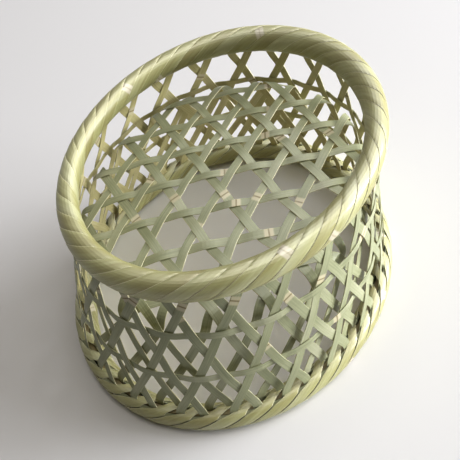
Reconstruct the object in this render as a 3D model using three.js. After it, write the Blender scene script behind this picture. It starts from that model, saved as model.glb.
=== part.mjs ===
// Dish draining basket of split bamboo, in millimetres, +Z up, front towards -Y.
// Three sets of strips make the raised floor in an open six-sided weave. Every strip bends down over
// the shoulder, turns round the foot hoop and comes up again as a slanting strip of the outer wall.
import * as THREE from 'three';

// Foot ring: the middle line, and the size of the lapped section
const FOOT_RADIUS = 112;
const FOOT_WIDE = 16;
const FOOT_TALL = 16;
const FOOT_LEAVE = 1;

// Rim: the middle line, its height over the table, and the size of the lapped section
const RIM_RADIUS = 97;
const RIM_HEIGHT = 126;
const RIM_WIDE = 14.2;
const RIM_TALL = 16.5;

// Hand-made shape: how far the rings are pulled out of round, and how the rim leans and slopes
const LONG_SIDE_ANGLE = THREE.MathUtils.degToRad(51);
const FOOT_OVAL = 0.05;
const RIM_OVAL = 0.042;
const RIM_SHIFT = 14.8;
const RIM_SLOPE_X = 0.042;
const RIM_SLOPE_Y = -0.021;

// The front of the wall is twisted round a little, most at the foot, and the front edge of the floor more
const TWIST_ANGLE = THREE.MathUtils.degToRad(-85);
const FOOT_TWIST = THREE.MathUtils.degToRad(6);
const RIM_TWIST = THREE.MathUtils.degToRad(3);
const FLOOR_EDGE_TWIST = THREE.MathUtils.degToRad(3);
const TWIST_START_RADIUS = 40;

// Split bamboo strips of the weave
const STRIPS_EACH_WAY = 7;
const STRIP_WIDE = 5.8;
const STRIP_THICK = 0.7;
const EDGE_SHARE = 0.125;
const WEAVE_ANGLE = THREE.MathUtils.degToRad(-11.3);
const FLOOR_WAVE = 1.9;
const WALL_WAVE = 1.4;
const LEG_LAYER = 0.75;
const HOLD_FULL = 1;
const HOLD_END = 1.5;

// Floor and shoulder
const FLOOR_CROWN = 6;
const SHOULDER_HEIGHT = 85;
const SHOULDER_RADIUS = 9;

// Legs under the floor: how far they travel round the basket on the way down
const LEG_TRAVEL = THREE.MathUtils.degToRad(20);

// Wall hoops
const LOWER_HOOP_HEIGHT = 51;
const UPPER_HOOP_HEIGHT = 87;
const HOOP_WIDE = 5;
const HOOP_THICK = 0.7;

// Hoops inside the rim and the foot ring
const CORE_THICK = 3.1;
const CORE_TALL = 8.5;

// Lapping of the rim and the foot ring
const LAP_THICK = 0.8;
const LAP_GAP = 1.1;
const LAP_ROUNDS = 5;
const LAP_SLOT_SHARE = 0.48;
const FLAT_SHARE = 0.42;
const SIDE_SHARE = 0.45;
const RIM_SLOT_INDEX = 6;
const FOOT_SLOT_INDEX = 2;

// Clearances: between pieces that touch, and between the lapping and the hoops that it binds
const CLEAR = 0.3;
const LAP_CLEAR = 0.75;

const WAYS = 3;
const ENDS = 2 * WAYS * STRIPS_EACH_WAY;
const PITCH = 2 * Math.PI / ENDS;
const FOLD_HALF = CORE_THICK / 2 + CLEAR + STRIP_THICK / 2;
const FOLD_DROP = FOLD_HALF + CLEAR;
const FOLD_HEIGHT = LAP_THICK + CLEAR + STRIP_THICK / 2 + FOLD_DROP;
const LEAN_START = FOOT_TALL + FOOT_LEAVE;
const RIM_UNDER = RIM_HEIGHT - RIM_TALL / 2;
const WALL_RUN = FOOT_RADIUS + FOLD_HALF - RIM_RADIUS;
const WALL_LEAN = Math.atan2(WALL_RUN, RIM_UNDER - LEAN_START);

// Radius of the outer wall, and of the legs that run inside it, at one height
function wallRadius(height) {
  const share = (height - LEAN_START) / (RIM_UNDER - LEAN_START);
  return FOOT_RADIUS + FOLD_HALF - WALL_RUN * Math.min(Math.max(share, 0), 1);
}

function legRadius(height) {
  return wallRadius(height) - 2 * FOLD_HALF;
}

// The shoulder is an arc from the edge of the floor to the top of the legs
const ARC_RADIUS_AT = legRadius(SHOULDER_HEIGHT) - SHOULDER_RADIUS * Math.cos(WALL_LEAN);
const ARC_HEIGHT_AT = SHOULDER_HEIGHT - SHOULDER_RADIUS * Math.sin(WALL_LEAN);
const EDGE_TILT = Math.PI / 2 - Math.atan2(2 * FLOOR_CROWN, ARC_RADIUS_AT);
const SHOULDER_TILTS = [EDGE_TILT, (EDGE_TILT + WALL_LEAN) / 2, WALL_LEAN];
const FLOOR_RADIUS = ARC_RADIUS_AT + SHOULDER_RADIUS * Math.cos(EDGE_TILT);
const FLOOR_EDGE = ARC_HEIGHT_AT + SHOULDER_RADIUS * Math.sin(EDGE_TILT);

// How much of the twist is felt at a place: most at the front, none at the back or in the middle
function twistShare(radius, angle) {
  const front = (1 + Math.cos(angle - TWIST_ANGLE)) / 2;
  return front * front * THREE.MathUtils.smoothstep(radius, TWIST_START_RADIUS, FLOOR_RADIUS);
}

// The hand-made shape moves every point of the round basket a little: twist, oval, leaning, sloping rim
function handMade(round) {
  const rise = (round.z - FOOT_TALL) / (RIM_HEIGHT - FOOT_TALL);
  const up = Math.max(rise, 0);
  const radius = Math.hypot(round.x, round.y);
  const angle = Math.atan2(round.y, round.x);
  const twist = (FOOT_TWIST + (RIM_TWIST - FOOT_TWIST) * up) * twistShare(radius, angle);
  const point = polar(radius, angle + twist, round.z);
  const oval = FOOT_OVAL + (RIM_OVAL - FOOT_OVAL) * up;
  const cos = Math.cos(LONG_SIDE_ANGLE);
  const sin = Math.sin(LONG_SIDE_ANGLE);
  const along = (point.x * cos + point.y * sin) * (1 + oval);
  const across = (point.y * cos - point.x * sin) * (1 - oval);
  const x = along * cos - across * sin;
  const y = along * sin + across * cos;
  const slope = (RIM_SLOPE_X * x + RIM_SLOPE_Y * y) * up * up;
  return new THREE.Vector3(x + RIM_SHIFT * up, y, point.z + slope);
}

// A point and a direction given by radius, angle round the basket and height
function polar(radius, angle, height) {
  return new THREE.Vector3(radius * Math.cos(angle), radius * Math.sin(angle), height);
}

// One closed solid from sections of equal point count, joined end to end, capped or closed on itself
function loft(sections, closed) {
  const sides = sections[0].length;
  const positions = sections.flat().flatMap((point) => handMade(point).toArray());
  const index = [];
  const spans = closed ? sections.length : sections.length - 1;
  for (let i = 0; i < spans; i += 1) {
    const here = i * sides;
    const next = ((i + 1) % sections.length) * sides;
    for (let j = 0; j < sides; j += 1) {
      const k = (j + 1) % sides;
      index.push(here + j, here + k, next + k, here + j, next + k, next + j);
    }
  }
  if (!closed) {
    const last = (sections.length - 1) * sides;
    for (let j = 1; j < sides - 1; j += 1) {
      index.push(0, j + 1, j, last, last + j, last + j + 1);
    }
  }
  const geometry = new THREE.BufferGeometry();
  geometry.setAttribute('position', new THREE.Float32BufferAttribute(positions, 3));
  geometry.setIndex(index);
  return geometry;
}

// Sections of a flat strip through stations, each with a point, a normal and a lift along that normal
function stripSections(stations, wide, thick, closed) {
  const count = stations.length;
  return stations.map((station, i) => {
    const before = stations[closed ? (i + count - 1) % count : Math.max(i - 1, 0)];
    const after = stations[closed ? (i + 1) % count : Math.min(i + 1, count - 1)];
    const travel = after.point.clone().sub(before.point);
    const side = station.normal.clone().cross(travel).setLength(wide / 2);
    const half = station.normal.clone().multiplyScalar(thick / 2);
    const middle = station.point.clone().addScaledVector(station.normal, station.lift);
    return [
      middle.clone().sub(side).sub(half),
      middle.clone().add(side).sub(half),
      middle.clone().add(side).add(half),
      middle.clone().sub(side).add(half),
    ];
  });
}

// A station on the slanting surface of the wall or the legs; tilt is the normal's rise from level
function slantStation(radius, angle, height, tilt, lift, facing) {
  const normal = polar(Math.cos(tilt), angle, Math.sin(tilt)).multiplyScalar(facing);
  return { point: polar(radius, angle, height), normal, lift: lift * facing };
}

// The strips of each way are spread evenly over the floor. Three strips never cross at one place: an
// odd count is set off by a sixth of the spacing for this, and an even count needs no set-off.
const spacing = 2 * FLOOR_RADIUS / (STRIPS_EACH_WAY - EDGE_SHARE);
const setOff = STRIPS_EACH_WAY % 2 === 0 ? 0 : 1 / (2 * WAYS);
const floorLines = [];
for (let way = 0; way < WAYS; way += 1) {
  const angle = WEAVE_ANGLE + way * 2 * Math.PI / WAYS;
  for (let row = 0; row < STRIPS_EACH_WAY; row += 1) {
    const offset = (row - (STRIPS_EACH_WAY - 1) / 2 + setOff) * spacing;
    floorLines.push({ way, row, angle, offset });
  }
}

// The angle of a place on the floor or the legs, with the twist of the floor's front edge
function pulled(radius, angle) {
  return angle + FLOOR_EDGE_TWIST * twistShare(radius, angle);
}

// A point on a floor line at a distance from its middle, lying on the domed floor
function floorPoint(line, along) {
  const cos = Math.cos(line.angle);
  const sin = Math.sin(line.angle);
  const x = along * cos - line.offset * sin;
  const y = along * sin + line.offset * cos;
  const radius = Math.hypot(x, y);
  const angle = Math.atan2(y, x);
  const share = radius / FLOOR_RADIUS;
  return polar(radius, pulled(radius, angle), FLOOR_EDGE + FLOOR_CROWN * (1 - share * share));
}

// Where a strip crosses the strips of the other two ways: over the next way, under the one before
function floorCrossings(line) {
  const crossings = [];
  for (const other of floorLines) {
    if (other.way !== line.way) {
      const turn = other.angle - line.angle;
      const along = (line.offset * Math.cos(turn) - other.offset) / Math.sin(turn);
      const reach = Math.hypot(along, line.offset);
      if (reach < FLOOR_RADIUS) {
        const over = other.way === (line.way + 1) % WAYS;
        crossings.push({ along, lift: over ? FLOOR_WAVE : -FLOOR_WAVE });
      }
    }
  }
  return crossings.sort((a, b) => a.along - b.along);
}

// Both ends of every strip leave the floor at an angle round the basket and slant one way or the other
function angleAt(line, end, radius) {
  const swing = Math.asin(line.offset / radius);
  return end > 0 ? line.angle + swing : line.angle + Math.PI - swing;
}

const stripEnds = [];
for (const line of floorLines) {
  for (const end of [-1, 1]) {
    const leaves = angleAt(line, end, legRadius(SHOULDER_HEIGHT));
    const slant = Math.sign(-line.offset) * end;
    const turns = Math.floor((leaves - WEAVE_ANGLE) / (2 * Math.PI));
    stripEnds.push({ line, end, slant, leaves, order: leaves - turns * 2 * Math.PI });
  }
}

// At the foot the ends are evenly spaced, with the two slants by turns, in the order they leave the floor
for (const slant of [-1, 1]) {
  const same = stripEnds.filter((item) => item.slant === slant).sort((a, b) => a.order - b.order);
  const first = slant > 0 ? PITCH : 0;
  const drift = same.reduce((sum, item, i) => sum + item.order - 2 * PITCH * i, 0) / same.length;
  const want = drift + slant * LEG_TRAVEL - WEAVE_ANGLE - first;
  const start = WEAVE_ANGLE + first + 2 * PITCH * Math.round(want / (2 * PITCH));
  same.forEach((item, i) => {
    item.foot = item.leaves - item.order + start + 2 * PITCH * i;
  });
}

// Stations from the edge of the floor down the leg, round the foot hoop and up the wall into the rim.
// A strip keeps the lift of a crossing close to the edge until it is past the strip that it crosses:
// wholly up to HOLD_FULL strip widths from the crossing, and not at all after HOLD_END.
function endStations(item, lastCrossing) {
  const { line, end, slant } = item;
  const edgeAt = Math.sqrt(FLOOR_RADIUS * FLOOR_RADIUS - line.offset * line.offset);
  const past = (edgeAt - Math.abs(lastCrossing.along)) / STRIP_WIDE;
  const hold = Math.min(Math.max((HOLD_END - past) / (HOLD_END - HOLD_FULL), 0), 1);
  const stations = SHOULDER_TILTS.map((tilt, i) => {
    const radius = ARC_RADIUS_AT + SHOULDER_RADIUS * Math.cos(tilt);
    const height = ARC_HEIGHT_AT + SHOULDER_RADIUS * Math.sin(tilt);
    const lift = THREE.MathUtils.lerp(slant * LEG_LAYER, lastCrossing.lift, i === 0 ? hold : 0);
    const angle = pulled(radius, angleAt(line, end, radius));
    return slantStation(radius, angle, height, tilt, lift, 1);
  });
  const legFoot = LEAN_START + STRIP_WIDE;
  const legTop = pulled(legRadius(SHOULDER_HEIGHT), item.leaves);
  for (const height of [(SHOULDER_HEIGHT + legFoot) / 2, legFoot, LEAN_START]) {
    const share = (SHOULDER_HEIGHT - height) / (SHOULDER_HEIGHT - LEAN_START);
    const angle = legTop + (item.foot - legTop) * share;
    const lift = height > LEAN_START ? slant * LEG_LAYER : 0;
    stations.push(slantStation(legRadius(height), angle, height, WALL_LEAN, lift, 1));
  }
  stations.push(slantStation(FOOT_RADIUS - FOLD_HALF, item.foot, FOLD_HEIGHT, 0, 0, 1));
  stations.push(slantStation(FOOT_RADIUS, item.foot, FOLD_HEIGHT - FOLD_DROP, Math.PI / 2, 0, 1));
  stations.push(slantStation(FOOT_RADIUS + FOLD_HALF, item.foot, FOLD_HEIGHT, 0, 0, -1));
  const levels = [LEAN_START, LOWER_HOOP_HEIGHT, UPPER_HOOP_HEIGHT, RIM_UNDER];
  levels.forEach((level, i) => {
    const angle = item.foot + slant * PITCH * i;
    const onHoop = i > 0 && i < levels.length - 1;
    const lift = onHoop ? -slant * WALL_WAVE : 0;
    stations.push(slantStation(wallRadius(level), angle, level, WALL_LEAN, lift, -1));
    if (i < levels.length - 1) {
      const middle = (level + levels[i + 1]) / 2;
      const half = angle + slant * PITCH / 2;
      stations.push(slantStation(wallRadius(middle), half, middle, WALL_LEAN, slant * WALL_WAVE, -1));
    }
  });
  const top = RIM_HEIGHT + RIM_TALL / 2 - LAP_THICK - LAP_CLEAR - STRIP_WIDE / 2;
  stations.push(slantStation(RIM_RADIUS, item.foot + slant * PITCH * (levels.length - 1), top, 0, 0, -1));
  return stations;
}

// One whole strip, from the rim on one side to the rim on the other
function weaveStrip(line) {
  const up = new THREE.Vector3(0, 0, 1);
  const [back, front] = stripEnds.filter((item) => item.line === line);
  const crossings = floorCrossings(line);
  const floor = crossings.map(({ along, lift }) => ({ point: floorPoint(line, along), normal: up, lift }));
  const toBack = endStations(back, crossings.at(0)).reverse();
  const toFront = endStations(front, crossings.at(-1));
  const stations = [...toBack, ...floor, ...toFront];
  return loft(stripSections(stations, STRIP_WIDE, STRIP_THICK, false), false);
}

// A hoop woven through the wall: outside the strips of one slant, inside those of the other
function wallHoop(height, level) {
  const stations = [];
  for (let i = 0; i < ENDS; i += 1) {
    const slantRight = (i + level) % 2 !== 0;
    const lift = slantRight ? WALL_WAVE : -WALL_WAVE;
    stations.push(slantStation(wallRadius(height), WEAVE_ANGLE + i * PITCH, height, WALL_LEAN, lift, 1));
  }
  return loft(stripSections(stations, HOOP_WIDE, HOOP_THICK, true), true);
}

// A ring swept from a section of (out, up) points, with one flat facet behind each strip end
function ring(radius, height, section) {
  const sections = [];
  for (let i = 0; i < ENDS; i += 1) {
    const angle = WEAVE_ANGLE + (i + 0.5) * PITCH;
    sections.push(section.map(([out, rise]) => {
      return polar((radius + out) / Math.cos(PITCH / 2), angle, height + rise);
    }));
  }
  return loft(sections, true);
}

// Half of the core that the lapping binds: flat against the strips, faceted to suit the lapping
function halfCore(side, seat, wide, tall) {
  const shell = LAP_THICK + LAP_CLEAR;
  const out = wide / 2 - shell;
  const top = tall / 2 - shell;
  const shoulder = Math.max(wide / 2 * FLAT_SHARE - shell / 2, seat + CLEAR);
  const flank = tall / 2 * SIDE_SHARE - shell / 2;
  const points = [[seat, -top], [shoulder, -top], [out, -flank], [out, flank], [shoulder, top], [seat, top]];
  const turned = points.map(([x, z]) => [side * x, z]);
  return side > 0 ? turned.reverse() : turned;
}

// The eight corners of a lapped section, from the outer side over the top, shrunk by a depth
function lapCorners(wide, tall, depth) {
  const a = wide / 2 - depth;
  const b = tall / 2 - depth;
  const flat = FLAT_SHARE * a;
  const flank = SIDE_SHARE * b;
  return [[a, -flank], [a, flank], [flat, b], [-flat, b], [-a, flank], [-a, -flank], [-flat, -b], [flat, -b]];
}

// One unbroken strip lapped round a ring: it slants over the section and passes square through the
// gaps between the strip ends, going several rounds until the ring is covered
function lapping(radius, height, wide, tall, slotCorner) {
  const outer = lapCorners(wide, tall, 0);
  const inner = lapCorners(wide, tall, LAP_THICK);
  const corners = outer.length;
  const lengths = outer.map(([x, z], j) => {
    const [nextX, nextZ] = outer[(j + 1) % corners];
    return j === slotCorner ? 0 : Math.hypot(nextX - x, nextZ - z);
  });
  const around = lengths.reduce((sum, length) => sum + length, 0);
  const sections = [];
  let angle = WEAVE_ANGLE + PITCH / 2;
  for (let step = 0; step < ENDS * corners; step += 1) {
    const j = (slotCorner + step) % corners;
    const atSlot = j === slotCorner || j === (slotCorner + 1) % corners;
    const full = PITCH - LAP_GAP / (radius + outer[j][0]);
    const half = (atSlot ? PITCH * LAP_SLOT_SHARE : full) / 2;
    const corner = ([x, z], turn) => polar(radius + x, angle + turn, height + z);
    sections.push([
      corner(inner[j], -half),
      corner(outer[j], -half),
      corner(outer[j], half),
      corner(inner[j], half),
    ]);
    angle += LAP_ROUNDS * PITCH * lengths[j] / around;
  }
  return sections;
}

// The least gap between neighbouring turns of a lapping, measured between points along their edges
function leastGap(sections) {
  const steps = 12;
  const corners = lapCorners(1, 1, 0).length;
  const back = new THREE.Matrix4().makeRotationZ(-PITCH);
  const edge = (side) => sections.slice(0, corners).flatMap((section, i) => {
    const points = [];
    for (let k = 0; k < steps; k += 1) {
      points.push(section[side].clone().lerp(sections[i + 1][side], k / steps));
    }
    return points;
  });
  const right = edge(2).map((point) => point.applyMatrix4(back));
  const left = edge(1);
  return Math.min(...left.flatMap((point) => right.map((other) => point.distanceTo(other))));
}

// Colours from the photograph: green skin on the weave, paler split bamboo on the laps
const strip = { color: 0x9aa585, roughness: 0.6, metalness: 0 };
const hoop = { color: 0x8f9a78, roughness: 0.6, metalness: 0 };
const lap = { color: 0xd2d0a0, roughness: 0.4, metalness: 0 };
const core = { color: 0xb9a878, roughness: 0.7, metalness: 0 };

const basket = new THREE.Group();
function add(name, geometry, look) {
  const mesh = new THREE.Mesh(geometry, new THREE.MeshStandardMaterial(look));
  mesh.name = name;
  basket.add(mesh);
}

const wayNames = ['strip_across', 'strip_slant_left', 'strip_slant_right'];
for (const line of floorLines) {
  add(`${wayNames[line.way]}_${line.row + 1}`, weaveStrip(line), strip);
}

add('lower_wall_hoop', wallHoop(LOWER_HOOP_HEIGHT, 1), hoop);
add('upper_wall_hoop', wallHoop(UPPER_HOOP_HEIGHT, 2), hoop);

const rimSeat = STRIP_THICK / 2 + CLEAR;
add('rim_inner_hoop', ring(RIM_RADIUS, RIM_HEIGHT, halfCore(-1, rimSeat, RIM_WIDE, RIM_TALL)), core);
add('rim_outer_hoop', ring(RIM_RADIUS, RIM_HEIGHT, halfCore(1, rimSeat, RIM_WIDE, RIM_TALL)), core);

const footSeat = FOLD_HALF + STRIP_THICK / 2 + CLEAR;
const footMiddle = FOOT_TALL / 2;
add('foot_inner_hoop', ring(FOOT_RADIUS, footMiddle, halfCore(-1, footSeat, FOOT_WIDE, FOOT_TALL)), core);
add('foot_outer_hoop', ring(FOOT_RADIUS, footMiddle, halfCore(1, footSeat, FOOT_WIDE, FOOT_TALL)), core);
const coreHalf = CORE_THICK / 2;
const coreFoot = FOLD_HEIGHT + CLEAR - footMiddle;
const coreSection = [
  [-coreHalf, coreFoot],
  [-coreHalf, coreFoot + CORE_TALL],
  [coreHalf, coreFoot + CORE_TALL],
  [coreHalf, coreFoot],
];
add('foot_core_hoop', ring(FOOT_RADIUS, footMiddle, coreSection), core);

const rimLaps = lapping(RIM_RADIUS, RIM_HEIGHT, RIM_WIDE, RIM_TALL, RIM_SLOT_INDEX);
const footLaps = lapping(FOOT_RADIUS, footMiddle, FOOT_WIDE, FOOT_TALL, FOOT_SLOT_INDEX);
console.log(`Least gap between turns: rim ${leastGap(rimLaps).toFixed(2)} mm`);
console.log(`Least gap between turns: foot ${leastGap(footLaps).toFixed(2)} mm`);
add('rim_lapping', loft(rimLaps, true), lap);
add('foot_lapping', loft(footLaps, true), lap);

export default basket;
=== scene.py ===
import math
import random

import bmesh
import bpy
from mathutils import Matrix, Vector


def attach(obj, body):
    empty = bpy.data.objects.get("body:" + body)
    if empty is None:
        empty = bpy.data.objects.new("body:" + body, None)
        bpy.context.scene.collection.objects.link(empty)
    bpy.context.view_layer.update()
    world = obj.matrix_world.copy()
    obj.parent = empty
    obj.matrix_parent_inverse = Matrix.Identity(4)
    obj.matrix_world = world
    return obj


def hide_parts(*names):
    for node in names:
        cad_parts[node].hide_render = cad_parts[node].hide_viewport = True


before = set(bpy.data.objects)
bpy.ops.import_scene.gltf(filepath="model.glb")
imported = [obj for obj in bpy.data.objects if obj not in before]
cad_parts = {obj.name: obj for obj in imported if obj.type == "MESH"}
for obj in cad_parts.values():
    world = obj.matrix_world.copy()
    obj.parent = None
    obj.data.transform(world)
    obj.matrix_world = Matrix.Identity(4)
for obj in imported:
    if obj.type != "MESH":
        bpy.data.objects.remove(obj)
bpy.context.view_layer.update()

# Weave strips
# Twenty-one lengths of thin split bamboo, green skin on one face and pale flesh on the other and on the cut
# edges. Seven lie each way in the floor, over and under in a six-sided weave, bend down over the shoulder as
# legs, turn round the core hoop of the foot and come up as the slanting strips of the outer wall.
MM = 0.001
WAYS = 3
EACH_WAY = 7
ENDS = 2 * WAYS * EACH_WAY
PITCH = 2 * math.pi / ENDS
FOOT_RADIUS, FOOT_TALL = 112, 16
RIM_RADIUS, RIM_HEIGHT, RIM_TALL = 97, 126, 16.5
LONG_SIDE = math.radians(51)
FOOT_OVAL, RIM_OVAL = 0.05, 0.042
RIM_SHIFT, RIM_SLOPE_X, RIM_SLOPE_Y = 14.8, 0.042, -0.021
TWIST_ANGLE, TWIST_START = math.radians(-85), 40
FOOT_TWIST, RIM_TWIST, FLOOR_EDGE_TWIST = math.radians(6), math.radians(3), math.radians(3)
WEAVE_ANGLE = math.radians(-11.3)
EDGE_SHARE = 0.125
STRIP_WIDE, STRIP_THICK, STRIP_CROWN, STRIP_CHAMFER = 5.8, 0.55, 0.07, 0.15
FLANK_SHARE = 0.2
FLOOR_LIFT, WALL_LIFT, LEG_LIFT = 0.6, 0.5, 0.5
CROSSING_FLAT, WAVE_HOLD = 3.4, 1.5
LEG_SETTLE, WALL_SETTLE = 6, 2.5
FLOOR_CROWN, SHOULDER_HEIGHT, SHOULDER_RADIUS = 6, 85, 9
LEG_TRAVEL = math.radians(20)
LOWER_HOOP, UPPER_HOOP = 51, 87
FOLD_HALF, FOLD_HEIGHT = 2.2, 3.95
FOOT_LEAVE = 1
LEAN_START = FOOT_TALL + FOOT_LEAVE
RIM_UNDER = RIM_HEIGHT - RIM_TALL / 2
RIM_GRIP = (0, 4, 8, 12)
WALL_RUN = FOOT_RADIUS + FOLD_HALF - RIM_RADIUS
WALL_LEAN = math.atan2(WALL_RUN, RIM_UNDER - LEAN_START)
FLOOR_STEP, LEG_STEP = 2.6, 4
SHOULDER_STEPS, FOLD_STEPS, WALL_STEPS = 7, 6, 12


def clamp(value):
    return min(max(value, 0.0), 1.0)


def ease(value):
    share = clamp(value)
    return share * share * (3 - 2 * share)


def wall_radius(height):
    return FOOT_RADIUS + FOLD_HALF - WALL_RUN * clamp((height - LEAN_START) / (RIM_UNDER - LEAN_START))


def leg_radius(height):
    return wall_radius(height) - 2 * FOLD_HALF


def polar(radius, angle, height):
    return Vector((radius * math.cos(angle), radius * math.sin(angle), height))


def twist_share(radius, angle):
    front = (1 + math.cos(angle - TWIST_ANGLE)) / 2
    return front * front * ease((radius - TWIST_START) / (FLOOR_RADIUS - TWIST_START))


def pulled(radius, angle):
    return angle + FLOOR_EDGE_TWIST * twist_share(radius, angle)


def hand_made(point):
    """The round basket's point, moved by the twist, the oval and the lean of the hand-made one."""
    up = max((point.z - FOOT_TALL) / (RIM_HEIGHT - FOOT_TALL), 0)
    radius, angle = math.hypot(point.x, point.y), math.atan2(point.y, point.x)
    angle += (FOOT_TWIST + (RIM_TWIST - FOOT_TWIST) * up) * twist_share(radius, angle)
    oval = FOOT_OVAL + (RIM_OVAL - FOOT_OVAL) * up
    along = radius * math.cos(angle - LONG_SIDE) * (1 + oval)
    across = radius * math.sin(angle - LONG_SIDE) * (1 - oval)
    cos, sin = math.cos(LONG_SIDE), math.sin(LONG_SIDE)
    x = along * cos - across * sin
    y = along * sin + across * cos
    slope = (RIM_SLOPE_X * x + RIM_SLOPE_Y * y) * up * up
    return Vector((x + RIM_SHIFT * up, y, point.z + slope)) * MM


ARC_RADIUS_AT = leg_radius(SHOULDER_HEIGHT) - SHOULDER_RADIUS * math.cos(WALL_LEAN)
ARC_HEIGHT_AT = SHOULDER_HEIGHT - SHOULDER_RADIUS * math.sin(WALL_LEAN)
EDGE_TILT = math.pi / 2 - math.atan2(2 * FLOOR_CROWN, ARC_RADIUS_AT)
FLOOR_RADIUS = ARC_RADIUS_AT + SHOULDER_RADIUS * math.cos(EDGE_TILT)
FLOOR_EDGE = ARC_HEIGHT_AT + SHOULDER_RADIUS * math.sin(EDGE_TILT)
SPACING = 2 * FLOOR_RADIUS / (EACH_WAY - EDGE_SHARE)

floor_lines = []
for way in range(WAYS):
    for number in range(EACH_WAY):
        offset = (number - (EACH_WAY - 1) / 2 + 1 / (2 * WAYS)) * SPACING
        turn = WEAVE_ANGLE + way * 2 * math.pi / WAYS
        floor_lines.append({"way": way, "number": number, "angle": turn, "offset": offset})


def angle_at(line, end, radius):
    swing = math.asin(line["offset"] / radius)
    return line["angle"] + swing if end > 0 else line["angle"] + math.pi - swing


# Each strip leaves the floor at two ends. The ends that slant the same way are spread evenly round the foot.
strip_ends = []
for line in floor_lines:
    for end in (-1, 1):
        leaves = angle_at(line, end, leg_radius(SHOULDER_HEIGHT))
        slant = math.copysign(1, -line["offset"]) * end
        turns = math.floor((leaves - WEAVE_ANGLE) / (2 * math.pi))
        order = leaves - turns * 2 * math.pi
        strip_ends.append({"line": line, "end": end, "slant": slant, "leaves": leaves, "order": order})
for slant in (-1, 1):
    same = sorted((item for item in strip_ends if item["slant"] == slant), key=lambda item: item["order"])
    first = PITCH if slant > 0 else 0
    drift = sum(item["order"] - 2 * PITCH * i for i, item in enumerate(same)) / len(same)
    want = drift + slant * LEG_TRAVEL - WEAVE_ANGLE - first
    start = WEAVE_ANGLE + first + 2 * PITCH * round(want / (2 * PITCH))
    for i, item in enumerate(same):
        item["foot"] = item["leaves"] - item["order"] + start + 2 * PITCH * i


def floor_crossings(line):
    found = []
    for other in floor_lines:
        if other["way"] != line["way"]:
            turn = other["angle"] - line["angle"]
            along = (line["offset"] * math.cos(turn) - other["offset"]) / math.sin(turn)
            if math.hypot(along, line["offset"]) < FLOOR_RADIUS:
                over = other["way"] == (line["way"] + 1) % WAYS
                found.append((along, FLOOR_LIFT if over else -FLOOR_LIFT))
    return sorted(found)


def floor_lift(along, crossings):
    before = [item for item in crossings if item[0] <= along]
    after = [item for item in crossings if item[0] > along]
    if not before:
        return after[0][1]
    if not after:
        return before[-1][1]
    (low, lift), (high, next_lift) = before[-1], after[0]
    share = (along - low - CROSSING_FLAT) / max(high - low - 2 * CROSSING_FLAT, 0.1)
    return lift + (next_lift - lift) * ease(share)


def wave(share, high):
    return high * max(min(WAVE_HOLD * math.cos(math.pi * share), 1), -1)


def end_stations(item, edge_lift):
    """From the edge of the floor to the rim: point, normal, lift along it, and whether the wall has begun."""
    line, end, slant = item["line"], item["end"], item["slant"]
    stations = []
    for i in range(1, SHOULDER_STEPS + 1):
        share = i / SHOULDER_STEPS
        tilt = EDGE_TILT + (WALL_LEAN - EDGE_TILT) * share
        radius = ARC_RADIUS_AT + SHOULDER_RADIUS * math.cos(tilt)
        height = ARC_HEIGHT_AT + SHOULDER_RADIUS * math.sin(tilt)
        angle = pulled(radius, angle_at(line, end, radius))
        lift = edge_lift + (slant * LEG_LIFT - edge_lift) * ease(share)
        stations.append((polar(radius, angle, height), polar(math.cos(tilt), angle, math.sin(tilt)), lift, 0))
    leg_steps = round((SHOULDER_HEIGHT - LEAN_START) / LEG_STEP)
    leg_top = pulled(leg_radius(SHOULDER_HEIGHT), item["leaves"])
    foot = item["foot"]
    for i in range(1, leg_steps + 1):
        share = i / leg_steps
        height = SHOULDER_HEIGHT + (LEAN_START - SHOULDER_HEIGHT) * share
        angle = leg_top + (foot - leg_top) * share
        lift = slant * LEG_LIFT * ease((1 - share) * LEG_SETTLE)
        normal = polar(math.cos(WALL_LEAN), angle, math.sin(WALL_LEAN))
        stations.append((polar(leg_radius(height), angle, height), normal, lift, 0))
    for i in range(FOLD_STEPS + 1):
        around = math.pi * i / FOLD_STEPS
        radius = FOOT_RADIUS - FOLD_HALF * math.cos(around)
        height = FOLD_HEIGHT - FOLD_HALF * math.sin(around)
        normal = polar(math.cos(around), foot, 0) + Vector((0, 0, math.sin(around)))
        stations.append((polar(radius, foot, height), normal, 0, 0 if i < FOLD_STEPS / 2 else 1))
    levels = [LEAN_START, LOWER_HOOP, UPPER_HOOP, RIM_UNDER]
    for i in range(len(levels) - 1):
        for k in range(WALL_STEPS):
            share = k / WALL_STEPS
            height = levels[i] + (levels[i + 1] - levels[i]) * share
            angle = foot + slant * PITCH * (i + share)
            lift = -slant * wave(2 * share, WALL_LIFT)
            if i == 0:
                lift *= ease(WALL_SETTLE * share)
            if i == len(levels) - 2:
                lift *= ease(WALL_SETTLE * (1 - share))
            normal = -polar(math.cos(WALL_LEAN), angle, math.sin(WALL_LEAN))
            stations.append((polar(wall_radius(height), angle, height), normal, -lift, 1))
    last = foot + slant * PITCH * (len(levels) - 1)
    for held in RIM_GRIP:
        stations.append((polar(RIM_RADIUS, last, RIM_UNDER + held), -polar(1, last, 0), 0, 1))
    return stations


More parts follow.
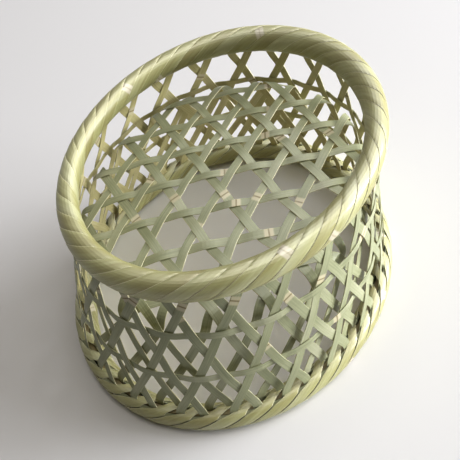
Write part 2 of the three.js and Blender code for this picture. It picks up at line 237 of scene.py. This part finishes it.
def strip_stations(line):
    crossings = floor_crossings(line)
    edge = math.sqrt(FLOOR_RADIUS ** 2 - line["offset"] ** 2)
    steps = round(2 * edge / FLOOR_STEP)
    slope = 2 * FLOOR_CROWN / FLOOR_RADIUS ** 2
    floor = []
    for i in range(steps + 1):
        along = -edge + 2 * edge * i / steps
        radius, angle = math.hypot(along, line["offset"]), line["angle"] + math.atan2(line["offset"], along)
        height = FLOOR_EDGE + FLOOR_CROWN * (1 - (radius / FLOOR_RADIUS) ** 2)
        point = polar(radius, pulled(radius, angle), height)
        normal = Vector((slope * point.x, slope * point.y, 1)).normalized()
        floor.append((point, normal, floor_lift(along, crossings), 0))
    back, front = [item for item in strip_ends if item["line"] is line]
    to_back = end_stations(back, floor[0][2])
    to_front = end_stations(front, floor[-1][2])
    return to_back[::-1] + floor + to_front


def smoothed(points, rounds):
    for _ in range(rounds):
        inner = [(a + b * 2 + c) / 4 for a, b, c in zip(points, points[1:], points[2:])]
        points = [points[0]] + inner + [points[-1]]
    return points


def strip_section(point, normal, side, wide, thick, crown):
    half, edge, flank = wide / 2, thick / 2, thick * FLANK_SHARE
    inset = half - STRIP_CHAMFER
    outline = [(-half, -flank), (-inset, -edge), (0, -edge - crown[1]), (inset, -edge), (half, -flank),
               (half, flank), (inset, edge), (0, edge + crown[0]), (-inset, edge), (-half, flank)]
    return [hand_made(point + side * a + normal * b) for a, b in outline]


SHARP_ANGLE = math.radians(32)


def drawn_out(name, sections, marks, closed):
    """Draws a strip out from its end face, one short length at a time, and keeps place along and across it."""
    shape = bmesh.new()
    column = shape.verts.layers.int.new("column")
    row = shape.verts.layers.int.new("row")
    start = [shape.verts.new(point) for point in sections[0]]
    for place, vert in enumerate(start):
        vert[column] = place
    first_cap = cap = shape.faces.new(start)
    for number, section in enumerate(sections[1:], 1):
        grown = bmesh.ops.extrude_face_region(shape, geom=[cap])["geom"]
        for vert in (item for item in grown if isinstance(item, bmesh.types.BMVert)):
            vert.co = section[vert[column]]
            vert[row] = number
        cap = next(item for item in grown if isinstance(item, bmesh.types.BMFace))
    if closed:
        ends = list(first_cap.edges) + list(cap.edges)
        bmesh.ops.delete(shape, geom=[first_cap, cap], context="FACES_ONLY")
        bmesh.ops.bridge_loops(shape, edges=ends)
    bmesh.ops.recalc_face_normals(shape, faces=shape.faces)
    lay = shape.loops.layers.uv.new("lay")
    lengths, across, lean, pick = marks
    last = len(sections) - 1
    for face in shape.faces:
        rows = [vert[row] for vert in face.verts]
        wraps = closed and max(rows) - min(rows) > 1
        for loop in face.loops:
            number = loop.vert[row]
            along = lengths[last] + (lengths[1] - lengths[0]) if wraps and number == 0 else lengths[number]
            aside = across[loop.vert[column]]
            loop[lay].uv = (along + aside * lean, aside)
        face.material_index = pick(min(rows), {vert[column] for vert in face.verts})
        face.smooth = True
    mesh = bpy.data.meshes.new(name)
    shape.to_mesh(mesh)
    shape.free()
    mesh.set_sharp_from_angle(angle=SHARP_ANGLE)
    piece = bpy.data.objects.new(name, mesh)
    bpy.context.scene.collection.objects.link(piece)
    return piece


def distances(points):
    total, out = 0.0, [0.0]
    for a, b in zip(points, points[1:]):
        total += (b - a).length
        out.append(total)
    return out


# Sizes of the bamboo's pattern, per millimetre of strip, and of the band at each joint of the cane.
FIBRE_LENGTHWAYS = 0.035
SLOW_LENGTHWAYS, SLOW_ACROSS = 0.013, 0.03
DRIFT_FROM, DRIFT_FULL, DRIFT_MOST = 0.40, 0.68, 0.8
WORN_FROM, WORN_FULL, WORN_MOST = 0.47, 0.30, 0.75
BAND_HALF, BAND_FADED, BAND_MOST = 2.2, 3.6, 0.85


def bamboo(name, base, light, dark, drift, bleach, roughness, gloss, fibre, joint):
    """Split bamboo: fine fibres along the strip, slow changes of tone, and a tan band at each joint of the cane."""
    material = bpy.data.materials.new(name)
    material.use_nodes = True
    nodes, links = material.node_tree.nodes, material.node_tree.links
    shader = nodes["Principled BSDF"]
    shader.inputs["Roughness"].default_value = roughness
    shader.inputs["Specular IOR Level"].default_value = gloss
    uv = nodes.new("ShaderNodeUVMap")
    uv.uv_map = "lay"

    def noise(lengthways, across, detail):
        stretch = nodes.new("ShaderNodeMapping")
        stretch.inputs["Scale"].default_value = (lengthways, across, 1)
        links.new(uv.outputs["UV"], stretch.inputs["Vector"])
        pattern = nodes.new("ShaderNodeTexNoise")
        pattern.inputs["Scale"].default_value = 1.0
        pattern.inputs["Detail"].default_value = detail
        links.new(stretch.outputs["Vector"], pattern.inputs["Vector"])
        return pattern.outputs["Fac"]

    def amount(value, start, full, most):
        reach = nodes.new("ShaderNodeMapRange")
        reach.inputs["From Min"].default_value = start
        reach.inputs["From Max"].default_value = full
        reach.inputs["To Min"].default_value = 0.0
        reach.inputs["To Max"].default_value = most
        links.new(value, reach.inputs["Value"])
        return reach

    def blended(factor, under):
        mix = nodes.new("ShaderNodeMix")
        mix.data_type = "RGBA"
        links.new(factor, mix.inputs["Factor"])
        links.new(under, mix.inputs["A"])
        return mix

    grain = noise(FIBRE_LENGTHWAYS, fibre, 4.0)
    tones = nodes.new("ShaderNodeValToRGB")
    tones.color_ramp.elements[0].position = 0.3
    tones.color_ramp.elements[0].color = (*dark, 1)
    tones.color_ramp.elements[1].position = 0.72
    tones.color_ramp.elements[1].color = (*light, 1)
    middle = tones.color_ramp.elements.new(0.5)
    middle.color = (*base, 1)
    links.new(grain, tones.inputs["Fac"])
    slow = noise(SLOW_LENGTHWAYS, SLOW_ACROSS, 2.0)
    shade = blended(amount(slow, DRIFT_FROM, DRIFT_FULL, DRIFT_MOST).outputs["Result"], tones.outputs["Color"])
    shade.inputs["B"].default_value = (*drift, 1)
    worn = blended(amount(slow, WORN_FROM, WORN_FULL, WORN_MOST).outputs["Result"], shade.outputs["Result"])
    worn.inputs["B"].default_value = (*bleach, 1)
    colour = worn.outputs["Result"]
    if joint:
        joint_every, joint_line, joint_band = joint
        split = nodes.new("ShaderNodeSeparateXYZ")
        links.new(uv.outputs["UV"], split.inputs["Vector"])
        away = nodes.new("ShaderNodeMath")
        away.operation = "PINGPONG"
        away.inputs[1].default_value = joint_every / 2
        links.new(split.outputs["X"], away.inputs[0])
        band = amount(away.outputs[0], BAND_FADED, BAND_HALF, BAND_MOST)
        band.interpolation_type = "SMOOTHSTEP"
        near = nodes.new("ShaderNodeMath")
        near.operation = "DIVIDE"
        near.inputs[1].default_value = BAND_FADED
        links.new(away.outputs[0], near.inputs[0])
        lines = nodes.new("ShaderNodeValToRGB")
        lines.color_ramp.elements[0].position = 0.08
        lines.color_ramp.elements[0].color = (*joint_line, 1)
        lines.color_ramp.elements[1].position = 0.2
        lines.color_ramp.elements[1].color = (*joint_band, 1)
        links.new(near.outputs[0], lines.inputs["Fac"])
        knot = blended(band.outputs["Result"], colour)
        links.new(lines.outputs["Color"], knot.inputs["B"])
        colour = knot.outputs["Result"]
    links.new(colour, shader.inputs["Base Color"])
    bump = nodes.new("ShaderNodeBump")
    bump.inputs["Strength"].default_value = 0.25
    bump.inputs["Distance"].default_value = 0.0002
    links.new(grain, bump.inputs["Height"])
    links.new(bump.outputs["Normal"], shader.inputs["Normal"])
    return material


NODE_EVERY = 290
skin_joint = (NODE_EVERY, (0.22, 0.165, 0.075), (0.56, 0.50, 0.33))
green_skin = bamboo("green_skin", base=(0.30, 0.313, 0.18), light=(0.37, 0.377, 0.235),
                    dark=(0.22, 0.236, 0.128), drift=(0.20, 0.215, 0.115), bleach=(0.40, 0.40, 0.27),
                    roughness=0.36, gloss=0.25, fibre=1.3, joint=skin_joint)
pale_flesh = bamboo("pale_flesh", base=(0.53, 0.48, 0.23), light=(0.63, 0.58, 0.32),
                    dark=(0.40, 0.35, 0.15), drift=(0.40, 0.36, 0.16), bleach=(0.60, 0.55, 0.31),
                    roughness=0.5, gloss=0.3, fibre=1.6, joint=skin_joint)
cut_edge = bamboo("cut_edge", base=(0.68, 0.64, 0.40), light=(0.77, 0.74, 0.51),
                  dark=(0.50, 0.46, 0.26), drift=(0.56, 0.51, 0.29), bleach=(0.78, 0.75, 0.55),
                  roughness=0.55, gloss=0.4, fibre=2.0, joint=None)


def dress(piece, slot, materials, *replaced):
    for material in materials:
        piece.data.materials.append(material)
    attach(piece, "root")
    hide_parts(*replaced)


SKIN, FLESH, EDGE = 0, 1, 2
TOP_COLUMNS, UNDER_COLUMNS = {6, 7, 8, 9}, {0, 1, 2, 3, 4}
HALF, INSET = STRIP_WIDE / 2, STRIP_WIDE / 2 - STRIP_CHAMFER
ACROSS = [-HALF, -INSET, 0, INSET, HALF, HALF, INSET, 0, -INSET, -HALF]


def strip_faces(wall_rows):
    def pick(row, columns):
        if columns <= TOP_COLUMNS:
            return FLESH if row in wall_rows else SKIN
        if columns <= UNDER_COLUMNS:
            return SKIN if row in wall_rows else FLESH
        return EDGE
    return pick


way_names = ["strip_across", "strip_slant_left", "strip_slant_right"]
WANDER, WANDER_EVERY, WANDER_PHASE = (0.1, 0.3), 31, (0, 6.28)
WIDTHS = (0.94, 1.05)
JOINT_SPREAD = 38
for line in floor_lines:
    chance = random.Random(100 * line["way"] + line["number"])
    stations = strip_stations(line)
    wander, phase = chance.uniform(*WANDER), chance.uniform(*WANDER_PHASE)
    wide = STRIP_WIDE * chance.uniform(*WIDTHS)
    points = smoothed([point + normal * lift for point, normal, lift, _ in stations], 2)
    lengths = distances(points)
    sections = []
    for i, (_, normal, _, on_wall) in enumerate(stations):
        travel = points[min(i + 1, len(points) - 1)] - points[max(i - 1, 0)]
        side = normal.cross(travel).normalized()
        level = travel.cross(side).normalized()
        middle = points[i] + side * wander * math.sin(lengths[i] / WANDER_EVERY + phase)
        crown = (0, STRIP_CROWN) if on_wall else (STRIP_CROWN, 0)
        sections.append(strip_section(middle, level, side, wide, STRIP_THICK, crown))
    joints_on = NODE_EVERY * chance.randrange(1, 40)
    joint_at = joints_on - lengths[-1] / 2 + chance.uniform(-JOINT_SPREAD, JOINT_SPREAD)
    placed = [length + joint_at for length in lengths]
    wall_rows = {i for i, station in enumerate(stations) if station[3]}
    name = f"{way_names[line['way']]}_{line['number'] + 1}"
    piece = drawn_out(f"bamboo_{name}", sections, (placed, ACROSS, 0, strip_faces(wall_rows)), False)
    dress(piece, "strip", (green_skin, pale_flesh, cut_edge), name)

# Wall hoops
# Two thin flat hoops of the same green bamboo, woven level through the outer wall: each goes outside the
# strips of one slant and inside those of the other, and closes on itself behind a strip.
HOOP_WIDE, HOOP_THICK = 5.0, 0.5
STEPS_PER_END = 6
for name, height, level in (("lower_wall_hoop", LOWER_HOOP, 1), ("upper_wall_hoop", UPPER_HOOP, 2)):
    sections, points = [], []
    for i in range(ENDS * STEPS_PER_END):
        share = i / STEPS_PER_END
        angle = WEAVE_ANGLE + share * PITCH
        lift = wave(share - level - 1, WALL_LIFT)
        normal = polar(math.cos(WALL_LEAN), angle, math.sin(WALL_LEAN))
        side = polar(-math.sin(WALL_LEAN), angle, 0) + Vector((0, 0, math.cos(WALL_LEAN)))
        point = polar(wall_radius(height), angle, height) + normal * lift
        points.append(point)
        sections.append(strip_section(point, normal, side, HOOP_WIDE, HOOP_THICK, (STRIP_CROWN, 0)))
    piece = drawn_out(f"bamboo_{name}", sections, (distances(points), ACROSS, 0, strip_faces(set())), True)
    dress(piece, "hoop", (green_skin, pale_flesh, green_skin), name)

# Hoops inside the rim and the foot ring
# Thick split hoops that grip the strips from both sides, and the core hoop that the strips turn round. They
# are bent round and bound by the lapping, so only slits of them show: raw bamboo in the rim and the core,
# green skin outward in the foot.
raw_bamboo = bamboo("raw_bamboo", base=(0.30, 0.25, 0.12), light=(0.38, 0.32, 0.17),
                    dark=(0.20, 0.155, 0.07), drift=(0.24, 0.19, 0.09), bleach=(0.36, 0.30, 0.16),
                    roughness=0.7, gloss=0.3, fibre=1.2, joint=None)
CORE_STEPS, CORE_ACROSS = 126, 0.6
ROUNDED = [(0.45, 1), (0.85, 0.75), (1, 0.3)]
RIM_SEAT, RIM_REACH, RIM_HALF = 0.9, 5.2, 6.3
FOOT_SEAT, FOOT_REACH, FOOT_HALF = 2.9, 6.1, 6.7
CORE_HALF_THICK, CORE_HALF_TALL, CORE_LIFT = 1.5, 4.2, 4.6


def bent_hoop(name, radius, height, outline, finish):
    turn = 2 * math.pi / CORE_STEPS
    sections, points = [], []
    for i in range(CORE_STEPS):
        points.append(polar(radius, i * turn, height))
        sections.append([hand_made(polar(radius + out, i * turn, height + rise)) for out, rise in outline])
    across = [CORE_ACROSS * place for place in range(len(outline))]
    piece = drawn_out(f"bamboo_{name}", sections, (distances(points), across, 0, lambda row, columns: 0), True)
    dress(piece, "core", (finish,), name)


def half_round(side, seat, reach, tall):
    low = [(seat, -tall)] + [(reach * a, -tall * b) for a, b in ROUNDED]
    high = [(reach * a, tall * b) for a, b in reversed(ROUNDED)] + [(seat, tall)]
    return [(side * out, rise) for out, rise in low + high]


bent_hoop("rim_inner_hoop", RIM_RADIUS, RIM_HEIGHT, half_round(-1, RIM_SEAT, RIM_REACH, RIM_HALF), raw_bamboo)
bent_hoop("rim_outer_hoop", RIM_RADIUS, RIM_HEIGHT, half_round(1, RIM_SEAT, RIM_REACH, RIM_HALF), raw_bamboo)
foot_middle = FOOT_TALL / 2
bent_hoop("foot_inner_hoop", FOOT_RADIUS, foot_middle, half_round(-1, FOOT_SEAT, FOOT_REACH, FOOT_HALF), green_skin)
bent_hoop("foot_outer_hoop", FOOT_RADIUS, foot_middle, half_round(1, FOOT_SEAT, FOOT_REACH, FOOT_HALF), green_skin)
core_flat = [(-CORE_HALF_THICK, -CORE_HALF_TALL), (CORE_HALF_THICK, -CORE_HALF_TALL),
             (CORE_HALF_THICK, CORE_HALF_TALL), (-CORE_HALF_THICK, CORE_HALF_TALL)]
bent_hoop("foot_core_hoop", FOOT_RADIUS, FOLD_HEIGHT + CORE_LIFT, core_flat, raw_bamboo)

# Lapping of the rim and the foot ring
# One long shaved strip of pale, silky bamboo for each ring. It is wound slantwise round the hoops through the
# gaps between the strip ends, five times round the ring, until each turn lies against the one before.
LAP_ROUNDS = 5
LAP_ROWS = 30
LAP_THICK, LAP_EDGE_DROP = 0.5, 0.12
LAP_ACROSS, LAP_LEAN = 5, 1.35
RING_SQUARENESS = 2.3
SLOT_SHARE, SLOT_HELD, SLOT_OPENS = 0.58, 0.045, 0.06
SLIT_EVEN, SLIT_RIGHT = 0.65, 0.35
lap_joint = (386, (0.42, 0.36, 0.24), (0.58, 0.53, 0.40))
silky_lap = bamboo("silky_lap", base=(0.35, 0.345, 0.14), light=(0.43, 0.43, 0.205),
                   dark=(0.27, 0.255, 0.09), drift=(0.22, 0.19, 0.055), bleach=(0.47, 0.465, 0.275),
                   roughness=0.42, gloss=0.7, fibre=0.5, joint=lap_joint)
lap_edge = bamboo("lap_edge", base=(0.66, 0.63, 0.40), light=(0.74, 0.71, 0.48),
                  dark=(0.52, 0.48, 0.28), drift=(0.58, 0.55, 0.33), bleach=(0.74, 0.72, 0.52),
                  roughness=0.45, gloss=0.5, fibre=1.5, joint=None)


def ring_point(radius, height, wide, tall, angle, around, out):
    cos, sin = math.cos(around), math.sin(around)
    power = 2 / RING_SQUARENESS
    x = math.copysign(abs(cos) ** power, cos) * (wide / 2 + out)
    z = math.copysign(abs(sin) ** power, sin) * (tall / 2 + out)
    return hand_made(polar(radius + x, angle, height + z))


def lapped_ring(name, radius, height, wide, tall, slot, cover, opens, crown, rise, joint_at):
    """One strip wound round the whole ring. It is narrow where it passes its slot and covers its share elsewhere."""
    spread = [-1, -0.95, -0.5, 0, 0.5, 0.95, 1]
    under = [0.9, 0, -0.9]
    sections = []
    for i in range(ENDS * LAP_ROWS):
        share = i / LAP_ROWS
        around = slot + 2 * math.pi * share
        near_slot = abs((share + 0.5) % 1 - 0.5)
        middle = WEAVE_ANGLE + PITCH / 2 + LAP_ROUNDS * PITCH * share
        loose = opens * (SLIT_EVEN + SLIT_RIGHT * math.cos(middle))
        full = cover[0] + (cover[1] - cover[0]) * near_slot * 2 - loose * (1 + math.cos(around)) / 2
        wider = (full - SLOT_SHARE) * ease((near_slot - SLOT_HELD) / SLOT_OPENS)
        half = PITCH / 2 * (SLOT_SHARE + wider)
        section = []
        for place in spread:
            lift = crown * (1 - place * place) - rise * place - (LAP_EDGE_DROP if abs(place) == 1 else 0)
            out = -crown + lift
            section.append(ring_point(radius, height, wide, tall, middle + place * half, around, out))
        for place in under:
            out = -crown + crown * (1 - place * place) - rise * place - LAP_THICK
            section.append(ring_point(radius, height, wide, tall, middle + place * half, around, out))
        sections.append(section)
    lengths = [length - joint_at for length in distances([section[3] / MM for section in sections])]
    across = [place * LAP_ACROSS for place in spread + under]
    pick = lambda row, columns: 0 if columns <= {1, 2, 3, 4, 5} else 1
    piece = drawn_out(f"bamboo_{name}", sections, (lengths, across, LAP_LEAN, pick), True)
    dress(piece, "lap", (silky_lap, lap_edge), name)


lapped_ring("rim_lapping", radius=RIM_RADIUS, height=RIM_HEIGHT, wide=14.2, tall=RIM_TALL, slot=1.5 * math.pi,
            cover=(1.03, 1.04), opens=0.085, crown=0.08, rise=0.10, joint_at=2067)
lapped_ring("foot_lapping", radius=FOOT_RADIUS, height=foot_middle, wide=16.0, tall=FOOT_TALL, slot=0.5 * math.pi,
            cover=(0.89, 0.975), opens=0.0, crown=0.3, rise=0.1, joint_at=150)

# Table
# A plain pale round table top with a matt face, wide enough to fill the view.
# It is only the stage: the basket stands on it by its foot ring.
TABLE_RADIUS, TABLE_SIDES = 0.9, 160
shape = bmesh.new()
bmesh.ops.create_circle(shape, cap_ends=True, segments=TABLE_SIDES, radius=TABLE_RADIUS)
mesh = bpy.data.meshes.new("table")
shape.to_mesh(mesh)
shape.free()
table = bpy.data.objects.new("table", mesh)
bpy.context.scene.collection.objects.link(table)
table_top = bpy.data.materials.new("table_top")
table_top.use_nodes = True
face = table_top.node_tree.nodes["Principled BSDF"].inputs
face["Base Color"].default_value = (0.775, 0.767, 0.784, 1)
face["Roughness"].default_value = 0.8
face["Specular IOR Level"].default_value = 0.1
table.data.materials.append(table_top)

# Light
# Soft daylight from a wide window on the right and the bright wall beside it, with a warm pale ceiling above.
# A large card that only reflections see gives the bamboo its sheen, and the room around is pale.
def soft_light(name, place, aim, wide, tall, power, colour):
    lamp = bpy.data.lights.new(name, "AREA")
    lamp.shape = "ELLIPSE"
    lamp.size = wide
    lamp.size_y = tall
    lamp.energy = power
    lamp.color = colour
    holder = bpy.data.objects.new(name, lamp)
    holder.location = place
    holder.rotation_euler = (Vector(aim) - Vector(place)).to_track_quat("-Z", "Y").to_euler()
    bpy.context.scene.collection.objects.link(holder)
    return holder


DAYLIGHT = (0.96, 0.975, 1.0)
soft_light("window", place=(3.2, 0.45, 2.0), aim=(0.0, 0.0, 0.05), wide=2.4, tall=2.4, power=123, colour=DAYLIGHT)
soft_light("bright_wall", place=(2.5, -0.5, 0.32), aim=(0.0, 0.0, 0.08), wide=2.0, tall=0.55, power=148,
           colour=DAYLIGHT)
soft_light("ceiling", place=(0.3, 0.05, 1.9), aim=(0.0, 0.0, 0.05), wide=1.4, tall=1.4, power=13.5,
           colour=(1.0, 0.955, 0.865))
sheen = soft_light("sheen_card", place=(0.6, 0.3, 1.3), aim=(0.0, 0.0, 0.1), wide=2.2, tall=2.2, power=75,
                   colour=(1.0, 1.0, 1.0))
sheen.visible_diffuse = False
world = bpy.data.worlds.new("room")
world.use_nodes = True
nodes, links = world.node_tree.nodes, world.node_tree.links
fill = nodes["Background"]
fill.inputs["Color"].default_value = (1.0, 0.88, 0.71, 1)
fill.inputs["Strength"].default_value = 0.05
backdrop = nodes.new("ShaderNodeBackground")
backdrop.inputs["Color"].default_value = (1.0, 0.99, 0.98, 1)
backdrop.inputs["Strength"].default_value = 0.62
rays = nodes.new("ShaderNodeLightPath")
seen = rays.outputs["Is Camera Ray"]
for kind in ("Is Glossy Ray", "Is Transmission Ray"):
    either = nodes.new("ShaderNodeMath")
    either.operation = "MAXIMUM"
    links.new(seen, either.inputs[0])
    links.new(rays.outputs[kind], either.inputs[1])
    seen = either.outputs[0]
pale = nodes.new("ShaderNodeMixShader")
links.new(seen, pale.inputs["Fac"])
links.new(fill.outputs["Background"], pale.inputs[1])
links.new(backdrop.outputs["Background"], pale.inputs[2])
links.new(pale.outputs["Shader"], nodes["World Output"].inputs["Surface"])
bpy.context.scene.world = world
bpy.context.scene.view_settings.view_transform = "Standard"

# Camera
# The photograph's view: from the front, high up and rolled a little, with the whole basket in the frame.
# Its place, turn and lens come from a fit of the ring outlines and weave crossings.
SENSOR_WIDE = 36
FOCAL_PIXELS, FRAME_PIXELS = 700.8, 460
VIEW_FROM = Vector((7.02, -304.68, 420.29)) * MM
VIEW_RIGHT = Vector((0.9548, -0.2304, -0.1878))
VIEW_UP = Vector((0.2972, 0.7402, 0.6031))
VIEW_BACK = Vector((0.0, -0.6317, 0.7752))
camera = bpy.data.cameras.new("camera")
camera.sensor_width = SENSOR_WIDE
camera.lens = SENSOR_WIDE * FOCAL_PIXELS / FRAME_PIXELS
camera.clip_start = 0.01
holder = bpy.data.objects.new("camera", camera)
turn = Matrix((VIEW_RIGHT, VIEW_UP, VIEW_BACK)).transposed()
holder.matrix_world = Matrix.Translation(VIEW_FROM) @ turn.to_4x4()
bpy.context.scene.collection.objects.link(holder)
bpy.context.scene.camera = holder
